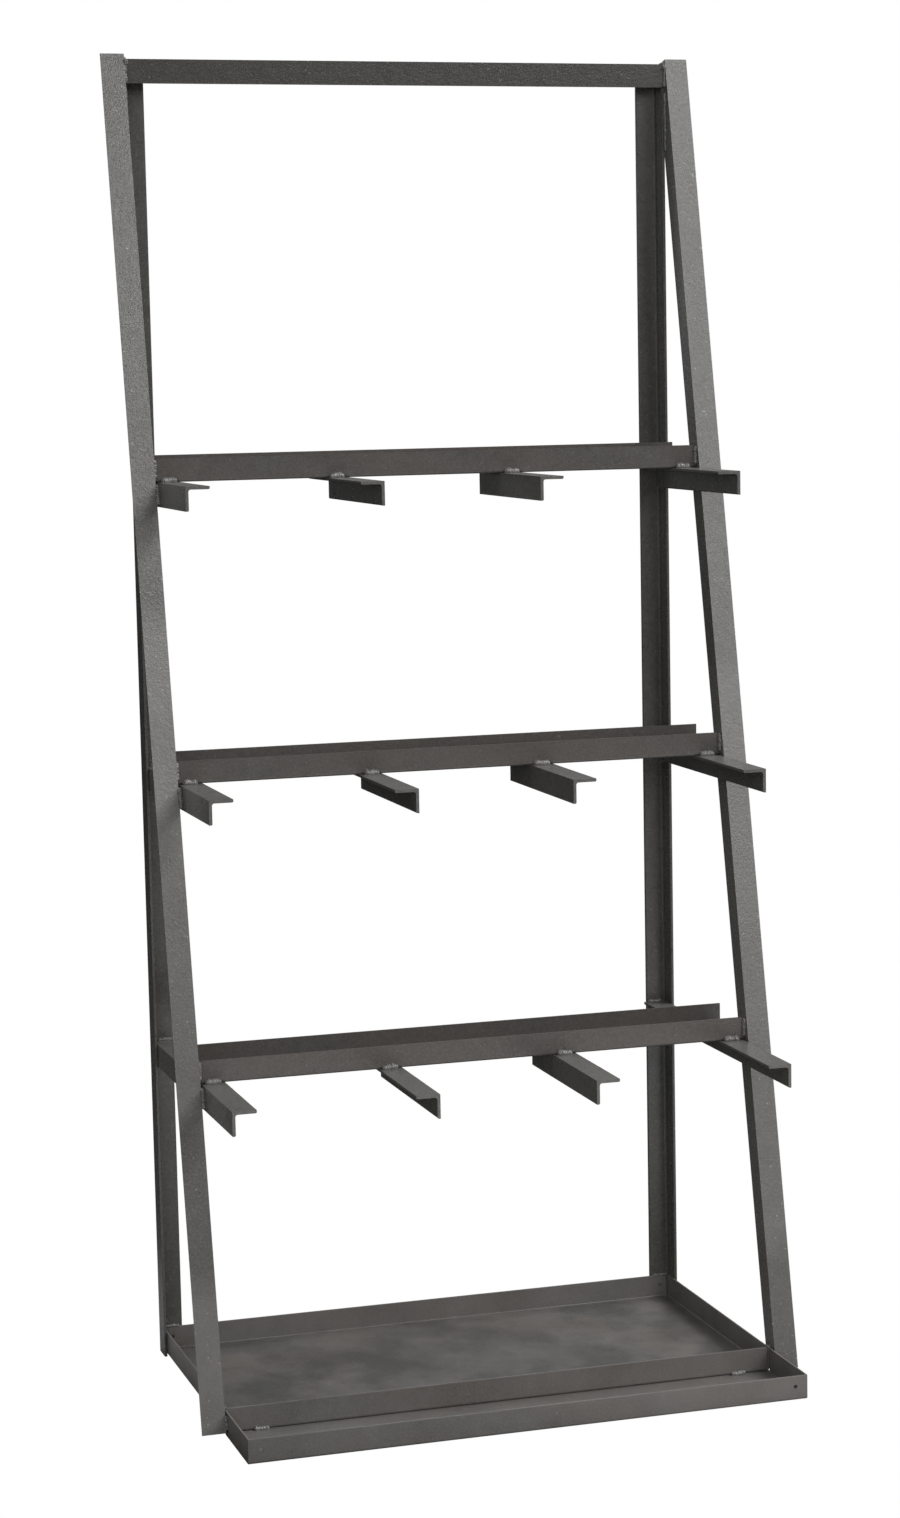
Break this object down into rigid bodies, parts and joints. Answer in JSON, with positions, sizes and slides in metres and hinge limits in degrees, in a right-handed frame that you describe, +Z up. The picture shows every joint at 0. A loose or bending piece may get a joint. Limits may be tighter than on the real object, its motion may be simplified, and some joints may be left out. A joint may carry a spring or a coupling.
{
  "type": "vertical bar stock rack",
  "caption": "Welded steel rack that holds long bars and tubes upright: leaning front uprights, cross pans with divider arms, a base tray and a front tray.",
  "frame": {"origin": "on the floor, at the middle of the overall footprint", "axes": "+Z up, +Y to the back (the stock is loaded from -Y), +X to the right"},
  "size_m": [0.9906, 0.631, 2.134],
  "materials": {
    "frame_angle": "satin powder coat with a fine orange peel",
    "arm_angle": "satin powder coat",
    "cross_pan_sheet": "satin powder coat",
    "tray_sheet": "satin powder coat with soft cloudy scuffs",
    "weld_bead": "powder coat over a rippled weld bead"
  },
  "bodies": {
    "root": {"front_upright_left": "frame_angle", "rear_upright_left": "frame_angle", "front_upright_right": "frame_angle", "rear_upright_right": "frame_angle", "top_bar": "frame_angle", "side_arm_upper_left": "arm_angle", "side_arm_upper_right": "arm_angle", "side_arm_middle_left": "arm_angle", "side_arm_middle_right": "arm_angle", "side_arm_lower_left": "arm_angle", "side_arm_lower_right": "arm_angle", "divider_arm_upper_left": "arm_angle", "divider_arm_upper_right": "arm_angle", "divider_arm_middle_left": "arm_angle", "divider_arm_middle_right": "arm_angle", "divider_arm_lower_left": "arm_angle", "divider_arm_lower_right": "arm_angle", "cross_pan_upper": "cross_pan_sheet", "cross_pan_middle": "cross_pan_sheet", "cross_pan_lower": "cross_pan_sheet", "base_tray": "tray_sheet", "front_tray": "tray_sheet", "front_tray_end_left": "tray_sheet", "front_tray_end_right": "tray_sheet", "weld_top": "weld_bead", "weld_upper": "weld_bead", "weld_middle": "weld_bead", "weld_lower": "weld_bead", "weld_rear": "weld_bead", "weld_base": "weld_bead"}
  },
  "joints": []
}
